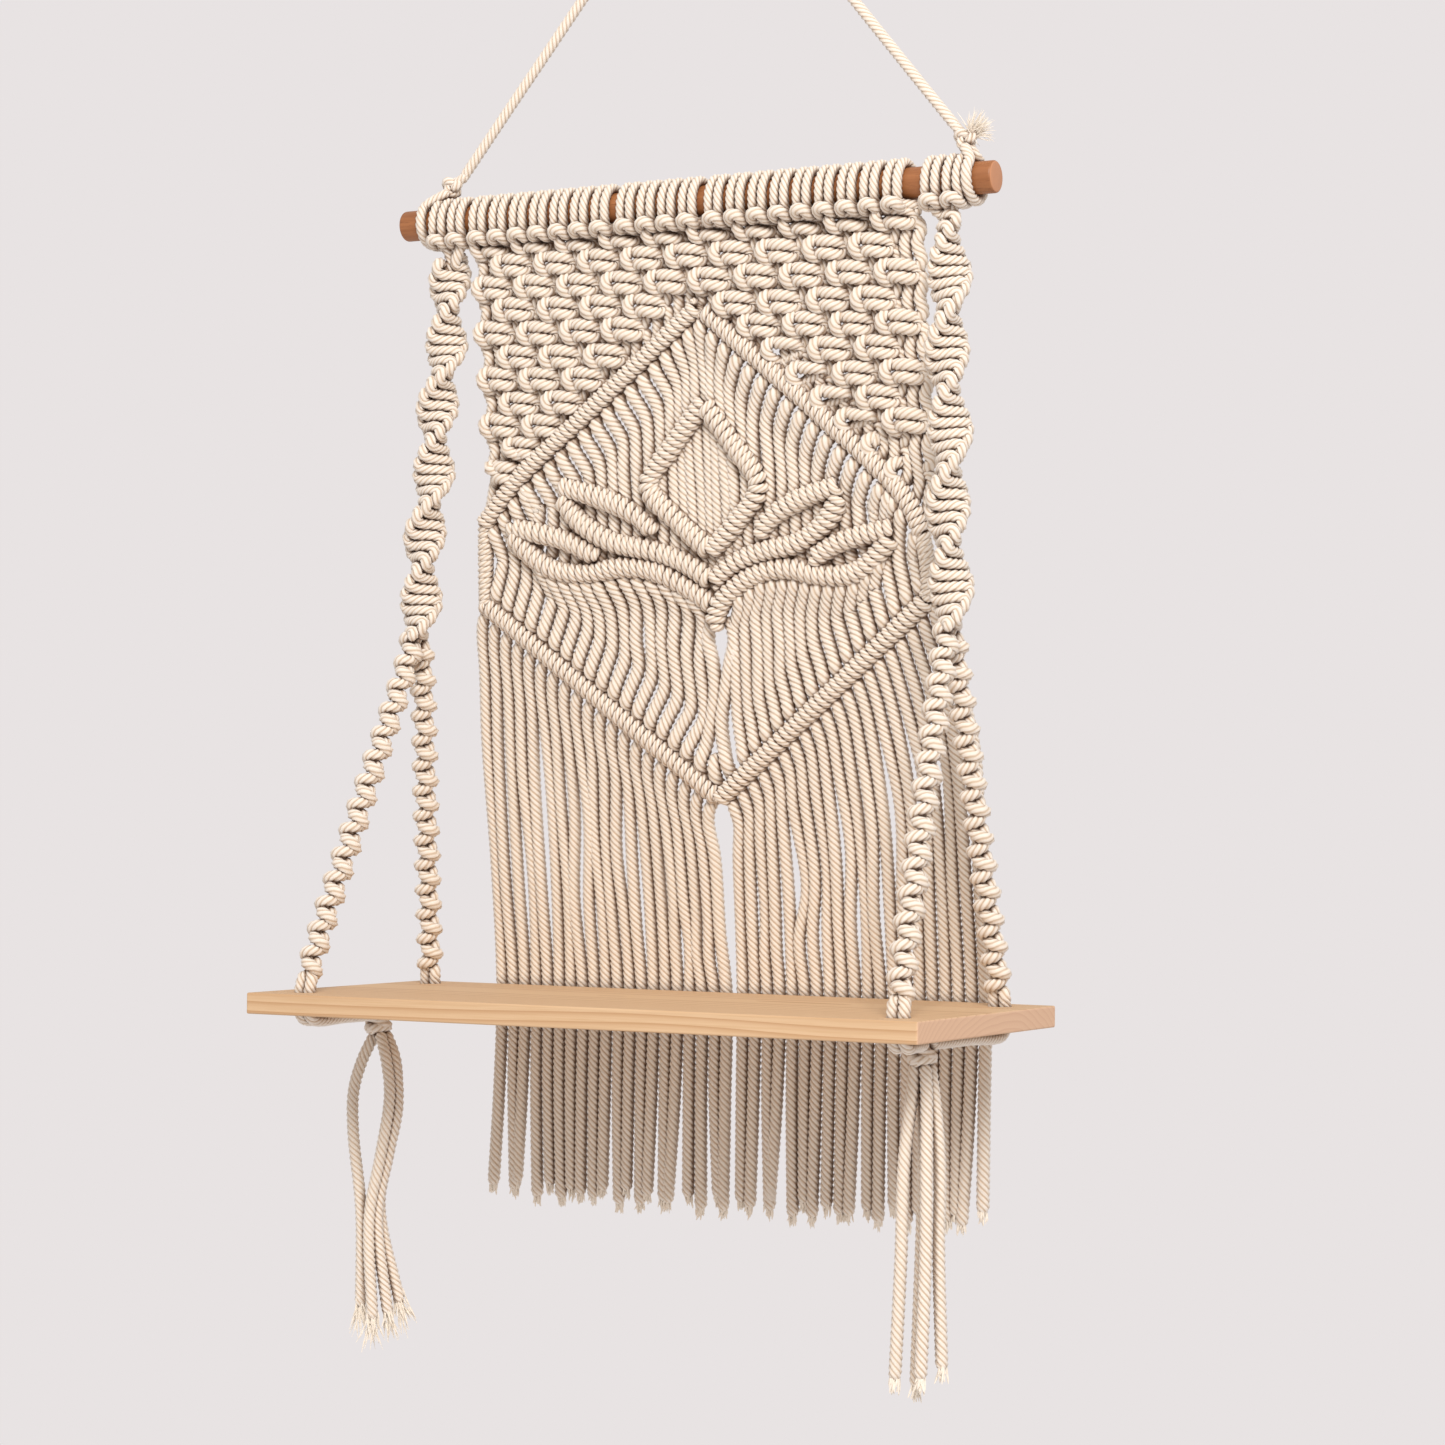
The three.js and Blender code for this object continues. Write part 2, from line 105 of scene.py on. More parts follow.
# The free cords in the diamond, on each side: where the first one hangs and their pitch, above the flower and
# below. Below it, the first one leans to the right at its top and swings by its bulge more, fading over the
# cords near it. Cords past the clear distance pass beside the flower, as far as the side's edge.
FREE = {
    -1: {"above": (3.4, 6.9), "below": (11, 6.45), "lean": 6.5, "bulge": 4, "edge": 123},
    1: {"above": (3.4, 6.5), "below": (7.5, 6.5), "lean": 3, "bulge": -2.5, "edge": 112.5},
}
FREE_COUNT = {"side": 18, "near": 7, "clear": 98, "overlap": 3, "tuck": 3}
SWING = {"above": 7.5, "grows": 25, "below": 5.5, "beside": 4}

# A free cord's ends, from the bar: its share of the swing, how far off the bar, how much further on a long
# cord, and out of the cloth. It makes a bead in front where it comes out from under a bar. A plain end lies
# as far out as the cord does.
BEAD_ABOVE = [(0, 2, 0, -1.5), (0, 6, 0, 0.8), (0.15, 9, 0, 3.6), (0.6, 9, 6, 2.4)]
BEAD_BELOW = [(0.4, 9.5, 7, 2.2), (0, 9.5, 0, 3.4), (-0.05, 6.5, 0, 0.8), (0, 2, 0, -1.5)]
PLAIN_BELOW = [(0.8, 9, 0, None), (0.5, 0, 0, 0)]
FREE_CORD = {
    "long": 50, "rise": (0.4, 1.4), "turn": 13, "follow": 0.3, "settle": 17,
    "first": 38, "last": 8, "step": 22, "waver": 0.5,
}

# Three cords under the flower's tip, as (across, depth, out). Two of them part round a drop-shaped opening.
MIDDLE_CORDS = [
    [(-1, 197, 0.5), (-3.4, 208, 0.8), (-1.5, 219, 1), (-0.9, 232, 1), (-4, 247, 1), (-7.5, 259, 1.4),
     (-10, 267, 3.4), (-11, 273, 0.5), (-11, 278, -1.5)],
    [(9, 197, 0.5), (11, 208, 0.8), (8.2, 219, 1), (4.9, 232, 1), (1.6, 247, 1), (2.2, 259, 1.4),
     (4.5, 268, 3.4), (6, 274, 0.5), (6, 280, -1.5)],
    [(-2.6, 263, -1), (-2.8, 268, 2.6), (-2.4, 273, 3.2), (-2, 278, 0.5), (-2, 283, -1.5)],
]

# The fringe: where its outermost cord hangs and is rooted, and its innermost ones, and how its ends vary.
# Its outer cords end a little higher. Its cords have spread out at the depth `spread` below the bar.
FRINGE = {
    "half": 133.5, "middle": 4.6, "root": 3.1, "roots": {-1: 126, 1: 115}, "end": 483, "uneven": 3.5,
    "beat": 2.7, "rise": 8, "outer": 0.8, "clear": 3, "spread": 68, "sway": 1.3, "lift": (-1.5, 0.8),
}

# A fringe cord leaves its bar square to it: outwards and down from its root, and out of the cloth
FRINGE_ROOT = [(0, 0, 0), (3.4, 6.2, 2.4), (5.4, 14, 1.6)]

# The straps on each side: where they leave the rod, where they split in two, and how tightly they turn
STRAPS = {
    "left": {"side": -1, "rod": -131, "split": (-141, -32, -390), "turn": 32},
    "right": {"side": 1, "rod": 137.5, "split": (147.5, -32, -390), "turn": 36},
}
SENNIT = {
    "knot": 5.4, "wide": 6.7, "thick": 2.6, "cord": 2.9, "lead": 5, "core": 1.5, "core_step": 8, "head": 5.4,
}
CHAIN = {
    "radius": 5, "drop": 1.2, "lead": 5, "above": 2, "period": 12.7, "apart": 2.1, "loop": 3.3, "cord": 3.05,
}
STEM = {"thick": 2.7, "bend": 3.3, "apart": 2.7}

# What hangs from the knot under each end of the board. Each tail's way is across and back from the knot, and
# down as a share of its length.
TASSELS = {
    "left": {
        "knot": (-154, -41),
        "tails": [
            {"way": [(-9, 0, 0.08), (-14, 0, 0.2), (-14, 0, 0.35), (-8, -1, 0.64), (-6, -3, 1)],
             "length": 131},
            {"way": [(8, -4, 0.08), (10, -4, 0.2), (5, -4, 0.42), (-1, -4, 0.64), (3, -6, 1)], "length": 136},
            {"way": [(10, 0, 0.08), (12, 0, 0.24), (7, 0, 0.42), (1, 0, 0.64), (8, 0, 1)], "length": 134},
            {"way": [(7, 5, 0.08), (8, 5, 0.2), (4, 5, 0.42), (-1, 5, 0.64), (11, 6, 1)], "length": 129},
        ],
        "loose": 22,
    },
    "right": {
        "knot": (154, -71),
        "tails": [
            {"way": [(-3, -3, 0.05), (-6, -5, 0.3), (-7, -5, 0.6), (-9, -6, 1)], "length": 135},
            {"way": [(-1, 3, 0.05), (-1, 5, 0.3), (-2, 5, 0.6), (-3, 3, 1)], "length": 139},
            {"way": [(3, -2, 0.05), (4, -3, 0.3), (4, -3, 0.6), (3, -5, 1)], "length": 134},
            {"way": [(4, 3, 0.05), (7, 4, 0.3), (7, 4, 0.6), (10, 2, 1)], "length": 130},
        ],
        "loose": 9,
    },
}
KNOT = {"high": 15, "gather": 2.4, "sunk": 4}
WRAPS = {
    "radius": 4.0, "turns": 1.45, "below": 3, "fall": 9.3, "starts_and_leans": [(0.0, 1.9), (2.2, -1.6)],
}

# Loose fibres at cut ends: how far one is sunk in its cord, how far off the cord's middle, how it bends and
# curls. Then how many there are on each cord, how far they reach and spread, and how thick they are.
HAIR = {
    "sides": 5, "sunk": 0.4, "off": 1.6, "lengths": (0.6, 1.05), "bend": 0.55, "curl": 0.08, "thinnest": 0.6,
}
FRAYS = {
    "fringe": {"hairs": 24, "reach": 6, "spread": 0.1, "thick": 0.5},
    "tassel": {"hairs": 30, "spread": 0.1, "thick": 0.6},
    "tuft": {"hairs": 150, "reach": 11, "spread": 0.6, "thick": 0.2},
}

# The hanging cord: how each end is tied round the rod, and the route from one knot up to its top and down to
# the other
HANGER = {
    "left": {"loop": -146, "knot": (-134, -15, -163), "size": 1.5, "tuft": (-5, -1, 3)},
    "right": {"loop": 150.2, "knot": (145.5, -15, -162.5), "size": 1.5, "tuft": (6, 0, 5)},
}
TIED = {"start": -0.7, "sweep": -1.75 * math.pi, "knot_cord": 2.4, "lead_cord": 2.6}
HANGING_ROUTE = [
    (-128.1, -14.9, -159.3), (-114.2, -13.4, -140.9), (-100.9, -11.9, -123.2), (-87.5, -10.4, -105.6),
    (-74.2, -8.8, -87.9), (-60.8, -7.3, -70.2), (-47.5, -5.8, -52.6), (-34.1, -4.2, -34.9),
    (-20.8, -2.4, -17.3), (-9.4, -0.8, -2.6), (0, 0, 2.7), (9.6, -0.8, -2.6),
    (21.9, -2.4, -16.9), (36.1, -4.1, -33.6), (50.2, -5.6, -50.3), (64.3, -7.2, -66.9),
    (78.5, -8.8, -83.6), (92.6, -10.3, -100.3), (106.8, -11.8, -117), (120.9, -13.3, -133.6),
    (141, -14.9, -157.2),
]

# The photograph's camera, fitted to the corners of the board and the rod
CAMERA = {"place": (791.4, -1436.3, -471.0), "yaw": 28.43, "pitch": -1.46, "roll": -0.64, "lens": 85.05}

# The light and the floor, in metres: a large window to the right of the camera, and a pale floor far below
WINDOW = {"place": (1.15, -1.85, 1.0), "target": (0, 0, -0.4), "size": 0.9, "power": 55, "colour": "#fffaf4"}
FLOOR = {"radius": 2, "z": -1.25, "sides": 64, "colour": "#e4e0df"}

FRONT = np.array([0.0, -1.0, 0.0])
ACROSS = np.array([1.0, 0.0, 0.0])


# Colours and materials

def srgb(colour):
    """An sRGB hex colour as linear red, green, blue and alpha."""
    parts = [int(colour[i:i + 2], 16) / 255 for i in (1, 3, 5)]
    return [*(p / 12.92 if p <= 0.04045 else ((p + 0.055) / 1.055) ** 2.4 for p in parts), 1.0]


def add(tree, kind, settings=None, links=None):
    """Adds a node with its settings, by property or socket name, and with what feeds its sockets."""
    node = tree.nodes.new("ShaderNode" + kind)
    for name, value in (settings or {}).items():
        if isinstance(name, str) and hasattr(node, name):
            setattr(node, name, value)
        else:
            node.inputs[name].default_value = value
    for name, source in (links or {}).items():
        tree.links.new(source, node.inputs[name])
    return node


def new_material(name):
    material = bpy.data.materials.new(name)
    material.use_nodes = True
    tree = material.node_tree
    tree.nodes.clear()
    return material, tree


def mix(tree, fade, first, second):
    """Fades from the first colour to the second. Each is a hex colour or a node that gives one."""
    node = add(tree, "Mix", {"data_type": "RGBA"}, {0: fade.outputs[0]})
    for socket, colour in ((6, first), (7, second)):
        if isinstance(colour, str):
            node.inputs[socket].default_value = srgb(colour)
        else:
            tree.links.new(colour.outputs[2], node.inputs[socket])
    return node


def with_end_grain(tree, wood, colour, start, most):
    """The wood's colour, which turns towards its end grain's on faces across its length."""
    facing = add(tree, "SeparateXYZ", None, {0: add(tree, "TexCoord").outputs["Normal"]})
    along = add(tree, "Math", {"operation": "ABSOLUTE"}, {0: facing.outputs[0]})
    fade = add(tree, "MapRange", {1: start, 2: 0.9, 3: 0.0, 4: most}, {0: along.outputs[0]})
    return mix(tree, fade, wood, colour)


def finish_material(tree, settings, colour, bump):
    shader = add(tree, "BsdfPrincipled", settings,
                 {"Base Color": colour.outputs[2], "Normal": bump.outputs[0]})
    add(tree, "OutputMaterial", None, {"Surface": shader.outputs[0]})


def cotton_twist():
    """Natural cotton, twisted and unbleached: a matt, faintly fuzzy off-white, with painted shade in the groove
    between its yarns, and fine fibres that run along them, drawn 0.4 mm apart, coarser than real ones, to show.
    Deep between cords it is painted a warm brown shade, standing in for shade and for light that has met cotton
    many times."""
    material, tree = new_material("cotton_twist")
    coordinates = add(tree, "UVMap", {"uv_map": "cord"})
    parts = add(tree, "SeparateXYZ", None, {0: coordinates.outputs[0]})
    around, along = parts.outputs[0], parts.outputs[1]
    yarn_angle = add(tree, "Math", {"operation": "MULTIPLY", 1: CORD["yarns"] * math.pi}, {0: around})
    wave = add(tree, "Math", {"operation": "SINE"}, {0: yarn_angle.outputs[0]})
    ridge = add(tree, "Math", {"operation": "ABSOLUTE"}, {0: wave.outputs[0]})
    fibre_place = add(tree, "CombineXYZ", None, {
        0: add(tree, "Math", {"operation": "MULTIPLY", 1: 42.0}, {0: around}).outputs[0],
        1: add(tree, "Math", {"operation": "MULTIPLY", 1: 0.22}, {0: along}).outputs[0]})
    fibres = add(tree, "TexNoise", {"Scale": 1.0, "Detail": 3.0, "Roughness": 0.6},
                 {0: fibre_place.outputs[0]})
    which = add(tree, "Math", {"operation": "FLOOR"}, {0: around})
    tone = add(tree, "TexWhiteNoise", {"noise_dimensions": "1D"}, {"W": which.outputs[0]})
    # Painted shade: the groove between the yarns is painted a darker tan than the yarns' ridges.
    groove = add(tree, "MapRange", {1: 0.0, 2: 0.85, 3: 0.0, 4: 1.0}, {0: ridge.outputs[0]})
    yarn_colour_groove_shaded = mix(tree, groove, "#bfa383", "#f6f0e8")
    fibre_fade = add(tree, "MapRange", {1: 0.35, 2: 0.7, 3: 0.0, 4: 0.35}, {0: fibres.outputs[0]})
    fibre_colour = mix(tree, fibre_fade, yarn_colour_groove_shaded, "#dcc9b4")
    tone_fade = add(tree, "MapRange", {1: 0.0, 2: 1.0, 3: 0.0, 4: 0.22}, {0: tone.outputs[0]})
    toned = mix(tree, tone_fade, fibre_colour, "#e8dccb")
    # Painted shade: where ambient occlusion finds other cords close by, the colour is painted a dark warm
    # brown.
    open_air = add(tree, "AmbientOcclusion", {"samples": 8, "Distance": 0.007})
    crevice_painted_shade = add(tree, "MapRange", {1: 0.2, 2: 0.75, 3: 0.0, 4: 1.0}, {0: open_air.outputs[1]})
    colour = mix(tree, crevice_painted_shade, "#7d5c40", toned)
    bump = add(tree, "Bump", {"Strength": 0.5, "Distance": 0.0004}, {"Height": fibres.outputs[0]})
    settings = {"Roughness": 0.92, "Specular IOR Level": 0.2, "Sheen Weight": 0.25, "Sheen Roughness": 0.6}
    finish_material(tree, settings, colour, bump)
    return material


def cotton_fluff():
    """The same cotton where a cord's cut end has come apart into loose fibres: whiter, with no grooves."""
    material, tree = new_material("cotton_fluff")
    place = add(tree, "TexCoord").outputs["Object"]
    patches = add(tree, "TexNoise", {"Scale": 900.0, "Detail": 1.0}, {0: place})
    colour = mix(tree, patches, "#fbf6ee", "#eadfce")
    bump = add(tree, "Bump", {"Strength": 0.2, "Distance": 0.0002}, {"Height": patches.outputs[0]})
    finish_material(tree, {"Roughness": 0.95, "Specular IOR Level": 0.2, "Sheen Weight": 0.3}, colour, bump)
    return material


def sanded_pine():
    """Pine, planed and sanded, unvarnished: pale honey boards with darker summer-wood lines along the length,
    3 mm apart, and pinker end grain. The lines are growth rings round a pith that lies below the board."""
    material, tree = new_material("sanded_pine")
    place = add(tree, "TexCoord").outputs["Object"]
    stretched = add(tree, "Mapping", {"Scale": (3.0, 22.0, 22.0)}, {0: place})
    drift = add(tree, "TexNoise", {"Scale": 1.0, "Detail": 2.0}, {0: stretched.outputs[0]})
    parts = add(tree, "SeparateXYZ", None, {0: place})
    from_pith_y = add(tree, "Math", {"operation": "ADD", 1: 0.03}, {0: parts.outputs[1]})
    from_pith_z = add(tree, "Math", {"operation": "ADD", 1: 0.655}, {0: parts.outputs[2]})
    flat = add(tree, "CombineXYZ", None, {1: from_pith_y.outputs[0], 2: from_pith_z.outputs[0]})
    distance = add(tree, "VectorMath", {"operation": "LENGTH"}, {0: flat.outputs[0]})
    rings = add(tree, "Math", {"operation": "MULTIPLY", 1: 1 / 0.0032}, {0: distance.outputs[1]})
    wander = add(tree, "Math", {"operation": "MULTIPLY_ADD", 1: 3.2},
                 {0: drift.outputs[0], 2: rings.outputs[0]})
    year = add(tree, "Math", {"operation": "FRACT"}, {0: wander.outputs[0]})
    summer = add(tree, "Math", {"operation": "POWER", 1: 3.0}, {0: year.outputs[0]})
    grain = add(tree, "TexNoise", {"Scale": 1.0, "Detail": 4.0, "Roughness": 0.65}, {
        0: add(tree, "Mapping", {"Scale": (30.0, 1400.0, 1400.0)}, {0: place}).outputs[0]})
    line_fade = add(tree, "Math", {"operation": "MULTIPLY", 1: 0.75}, {0: summer.outputs[0]})
    wood = mix(tree, line_fade, "#d9b994", "#b08157")
    grain_fade = add(tree, "MapRange", {1: 0.4, 2: 0.75, 3: 0.0, 4: 0.5}, {0: grain.outputs[0]})
    grained = mix(tree, grain_fade, wood, "#c39c70")
    colour = with_end_grain(tree, grained, "#e6bfa6", 0.5, 0.6)
    bump = add(tree, "Bump", {"Strength": 0.25, "Distance": 0.0002}, {"Height": grain.outputs[0]})
    finish_material(tree, {"Roughness": 0.62, "IOR": 1.5}, colour, bump)
    return material


def oiled_beech():
    """Beech, turned and oiled: an even red-brown, with short darker flecks lengthwise, faintly glossy."""
    material, tree = new_material("oiled_beech")
    place = add(tree, "TexCoord").outputs["Object"]
    flecks = add(tree, "TexNoise", {"Scale": 1.0, "Detail": 3.0, "Roughness": 0.7}, {
        0: add(tree, "Mapping", {"Scale": (160.0, 1500.0, 1500.0)}, {0: place}).outputs[0]})
    bands = add(tree, "TexNoise", {"Scale": 1.0, "Detail": 2.0}, {
        0: add(tree, "Mapping", {"Scale": (12.0, 260.0, 260.0)}, {0: place}).outputs[0]})
    band_fade = add(tree, "MapRange", {1: 0.35, 2: 0.65}, {0: bands.outputs[0]})
    wood = mix(tree, band_fade, "#a96f45", "#8a5530")
    fleck_fade = add(tree, "MapRange", {1: 0.55, 2: 0.72, 3: 0.0, 4: 0.6}, {0: flecks.outputs[0]})
    flecked = mix(tree, fleck_fade, wood, "#6f4124")
    colour = with_end_grain(tree, flecked, "#cf946f", 0.6, 0.85)
    bump = add(tree, "Bump", {"Strength": 0.2, "Distance": 0.0002}, {"Height": flecks.outputs[0]})
    finish_material(tree, {"Roughness": 0.45, "IOR": 1.5}, colour, bump)
    return material


# Curves and the meshes swept along them

def run_along(line):
    """The distance along a line of points, at each point."""
    return np.concatenate([[0.0], np.cumsum(np.linalg.norm(np.diff(line, axis=0), axis=1))])


def evenly(line, step):
    run = run_along(line)
    even = np.linspace(0, run[-1], max(3, round(run[-1] / step) + 1))
    return np.column_stack([np.interp(even, run, line[:, axis]) for axis in range(3)])


# How many pieces a curve has between two of its points, before it is cut into even steps
STRETCH_PIECES = 12


def curve(points, step=CORD["step"]):
    """Even steps along a smooth curve through the points, centripetal as in the part's source."""
    p = np.asarray(points, float)
    p = np.vstack([2 * p[0] - p[1], p, 2 * p[-1] - p[-2]])
    gap = np.maximum(np.linalg.norm(np.diff(p, axis=0), axis=1), 1e-6)[:, None] ** 0.5
    before, start, end, after = p[:-3], p[1:-2], p[2:-1], p[3:]
    g0, g1, g2 = gap[:-2], gap[1:-1], gap[2:]
    leave = ((start - before) / g0 - (end - before) / (g0 + g1) + (end - start) / g1) * g1
    arrive = ((end - start) / g1 - (after - start) / (g1 + g2) + (after - end) / g2) * g1
    t = np.linspace(0, 1, STRETCH_PIECES, endpoint=False)[None, :, None]
    fine = ((2 * t**3 - 3 * t**2 + 1) * start[:, None] + (t**3 - 2 * t**2 + t) * leave[:, None]
            + (3 * t**2 - 2 * t**3) * end[:, None] + (t**3 - t**2) * arrive[:, None])
    return evenly(np.vstack([fine.reshape(-1, 3), p[-2]]), step)


def frames(line, facing=FRONT):
    """The way ahead along a line, a way out from it that starts towards `facing`, and the way across both."""
    ahead = np.gradient(line, axis=0)
    ahead /= np.linalg.norm(ahead, axis=1)[:, None]
    out = np.empty_like(line)
    last = facing if abs(ahead[0] @ facing) < 0.9 else np.roll(facing, 1)
    for i, way in enumerate(ahead):
        last = last - (last @ way) * way
        last = last / math.sqrt(last @ last)
        out[i] = last
    return ahead, out, np.cross(ahead, out)


# Sections to sweep, as shares of the radius: a cord's yarns with grooves between them, and a round fibre
TWIST = np.tile([CORD["groove"], 1.0], CORD["yarns"])
ROUND = np.ones(HAIR["sides"])


def sweep(line, radius, section, lay=CORD["lay"]):
    """Rings of points along a line, that turn with the twist and close in at both ends."""
    _, out, other = frames(line)
    run = run_along(line)
    to_end = np.minimum(run, run[-1] - run)
    closing = np.sqrt(np.clip(1 - (1 - np.minimum(to_end / np.max(radius), 1)) ** 2, 0.12, 1))
    angle = 2 * math.pi * (np.arange(len(section)) / len(section) - run[:, None] / lay)
    size = section * (radius * closing)[:, None]
    way = np.cos(angle)[..., None] * out[:, None] + np.sin(angle)[..., None] * other[:, None]
    return line[:, None] + size[..., None] * way, run


def swept_mesh(name, lines, radii, section):
    """One mesh of closed cords. Its map goes round each cord, plus the cord's number, and along it."""
    sides = len(section)
    points, loops, sizes, maps = [], [], [], []
    base = 0
    for number, (line, radius) in enumerate(zip(lines, radii)):
        ring, run = sweep(line, radius, section)
        count = len(line)
        offset = float(random.uniform(0, 500))
        i, j = np.meshgrid(np.arange(count - 1), np.arange(sides), indexing="ij")
        right = (j + 1) % sides
        here, ahead = base + i * sides, base + (i + 1) * sides
        quads = np.stack([here + j, here + right, ahead + right, ahead + j], -1)
        around = number + np.stack([j, j + 1, j + 1, j], -1) / sides
        along = offset + np.stack([run[i], run[i], run[i + 1], run[i + 1]], -1)
        caps = base + np.stack([np.arange(sides)[::-1], (count - 1) * sides + np.arange(sides)])
        points.append(ring.reshape(-1, 3))
        loops += [quads.ravel(), caps.ravel()]
        maps.append(np.stack([around, along], -1).reshape(-1, 2))
        maps.append(np.full((2 * sides, 2), (number + 0.1, offset)))
        sizes += [np.full(quads.shape[0] * quads.shape[1], 4), np.full(2, sides)]
        base += count * sides
    points, loops, maps, sizes = (np.concatenate(group) for group in (points, loops, maps, sizes))
    mesh = bpy.data.meshes.new(name)
    mesh.vertices.add(len(points))
    mesh.vertices.foreach_set("co", (points / 1000).astype(np.float32).ravel())
    mesh.loops.add(len(loops))
    mesh.loops.foreach_set("vertex_index", loops.astype(np.int32))
    mesh.polygons.add(len(sizes))
    mesh.polygons.foreach_set("loop_start", np.concatenate([[0], np.cumsum(sizes)[:-1]]).astype(np.int32))
    mesh.update(calc_edges=True)
    layer = mesh.uv_layers.new(name="cord")
    layer.data.foreach_set("uv", maps.astype(np.float32).ravel())
    return mesh


def mark_grooves(mesh, sides):
    """Keeps the grooves between the yarns crisp: the edges that run along every other point of the rings."""
    ends = np.empty(len(mesh.edges) * 2, np.int32)
    mesh.edges.foreach_get("vertices", ends)
    low, high = np.sort(ends.reshape(-1, 2), axis=1).T
    groove = (high - low == sides) & (low % sides % 2 == 0)
    mesh.attributes.new("sharp_edge", "BOOLEAN", "EDGE").data.foreach_set("value", groove)


def show(name, mesh, material, nodes):
    """Puts a piece in the scene, in place of the named solids."""
    piece = bpy.data.objects.new(name, mesh)
    bpy.context.scene.collection.objects.link(piece)
    mesh.materials.append(material)
    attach(piece, "root")
    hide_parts(*nodes)
    return piece


def cords(name, lines, nodes, radius=CORD["slack"]):
    """A piece of twisted cords, with one radius for all or one for each."""
    radii = radius if hasattr(radius, "__len__") else [radius] * len(lines)
    mesh = swept_mesh(name, lines, radii, TWIST)
    mark_grooves(mesh, len(TWIST))
    return show(name, mesh, COTTON, nodes)


def frays(name, ends, nodes, hairs, reach, spread, thick):
    """Loose fibres at cut ends. Each end is a point and the way that the cord points there."""
    lines, radii = [], []
    for point, way in ends:
        for _ in range(hairs):
            lean = way + random.normal(0, spread, 3)
            lean /= np.linalg.norm(lean)
            root = point - HAIR["sunk"] * reach * way + random.uniform(-HAIR["off"], HAIR["off"], 3)
            length = reach * random.uniform(*HAIR["lengths"])
            curl = random.normal(0, HAIR["curl"] * length, 3)
            tip = root + lean * length + curl
            lines.append(curve([root, root + lean * length * HAIR["bend"], tip], length / 4))
            radii.append(thick * random.uniform(HAIR["thinnest"], 1))
    mesh = swept_mesh(name, lines, radii, ROUND)
    mesh.shade_flat()
    return show(name, mesh, FLUFF, nodes)


# The camera and the hanging cord

def camera(place, yaw, pitch, roll, lens):
    """A camera level with the photograph's own: yaw turns it to the left, and roll tips it about its view."""
    yaw, pitch, roll = (math.radians(angle) for angle in (yaw, pitch, roll))
    forward = np.array([-math.sin(yaw) * math.cos(pitch), math.cos(yaw) * math.cos(pitch), -math.sin(pitch)])
    right = np.array([math.cos(yaw), math.sin(yaw), 0.0])
    down = np.cross(forward, right)
    image_right = math.cos(roll) * right + math.sin(roll) * down
    image_up = math.sin(roll) * right - math.cos(roll) * down
    eye = bpy.data.cameras.new("camera")
    eye.lens = lens
    eye.sensor_width = 36
    eye.clip_end = 20
    view = bpy.data.objects.new("camera", eye)
    columns = np.column_stack([image_right, image_up, -forward, np.array(place) / 1000])
    view.matrix_world = Matrix([*columns.tolist(), [0, 0, 0, 1]])
    bpy.context.scene.collection.objects.link(view)
    bpy.context.scene.camera = view


COTTON = cotton_twist()
FLUFF = cotton_fluff()
PINE = sanded_pine()
BEECH = oiled_beech()

camera(**CAMERA)

hanging_line = curve(HANGING_ROUTE)
hanging_cord = cords("hanging_rope", [hanging_line], ["hanging_cord"], CORD["radius"])


# The cloth: where its middle lies, and where the diamond's bars cross it

BEHIND = BOARD["y"] + BOARD["depth"] / 2 + FRINGE["clear"] + CORD["radius"]
BOARD_DEPTH = ROD["z"] - BOARD["top"]


def on_cloth(points):
    """Points (across, depth, out) of the cloth, which leans back from the rod to pass behind the board."""
    across, depth, out = np.asarray(points, float).T
    lean = np.minimum((depth - PANEL["start"]) / (BOARD_DEPTH - PANEL["start"]), 1)
    y = PANEL["front"] + (BEHIND - PANEL["front"]) * lean - out
    return np.column_stack([PANEL["x"] + across, y, ROD["z"] - depth])


def flower_half(side):
    """The flower's bars on one side of its middle, set askew. The right leaf starts with its tail."""
    shift, fade, slope = FLOWER_PLACE["shift"], FLOWER_PLACE["fade"], KNOTS["slope"]
    lines = {name: [(side * x + shift * (1 - x / fade), depth + side * x * slope) for x, depth in points]
             for name, points in FLOWER.items()}
    if side > 0:
        tail_x, tail_depth = FLOWER_PLACE["tail"]
        (first_x, first_depth), *rest = lines["leaf_low"]
        lines["leaf_low"] = [(tail_x + shift, tail_depth), (first_x + shift, first_depth), *rest]
    return lines


FLOWER_HALVES = {side: flower_half(side) for side in (-1, 1)}


def edge(across, left, right):
    """The depth of a line of bars that goes from the left side to the right one, at some places across."""
    line = sorted(left + right)
    return np.interp(across, [x for x, _ in line], [depth for _, depth in line])


def upper_edge(across):
    return edge(across, DIAMOND["arm_left"], DIAMOND["arm_right"])


def flower_edge(across):
    """The depth of the leaves' lower bars, without the right leaf's tail."""
    return edge(across, FLOWER_HALVES[-1]["leaf_low"], FLOWER_HALVES[1]["leaf_low"][1:])


def lower_edge(across):
    return edge(across, DIAMOND["foot_left"], DIAMOND["foot_right"])


# Lark's heads on the rod and the square knots below them

# Half of a lark's head, from where its tail comes up from behind the bight, over the rod and round to the
# bight's middle: across from the head's middle, then back from and above the rod's axis
HALF_HEAD = [
    (2.5, -7.4, -9.5), (2.5, -9.7, -4), (2.5, -9.4, 2.5), (2.5, -5.3, 8.5), (2.5, 0, 10.0),
    (2.5, 5.5, 8.4), (2.5, 9.6, 2.6), (2.6, 9.1, -4.2), (2.7, 5, -9.2), (2.9, -2, -11.8),
    (3.2, -8.6, -11.9), (2.1, -11.8, -10.2), (0, -12.6, -9.8),
]


def head(x):
    """A lark's head on the rod, from the foot of its left tail to the foot of its right one."""
    right = np.array(HALF_HEAD)
    left = right * (-1, 1, 1)
    return np.vstack([left, right[-2::-1]]) + (x, ROD["y"], ROD["z"])


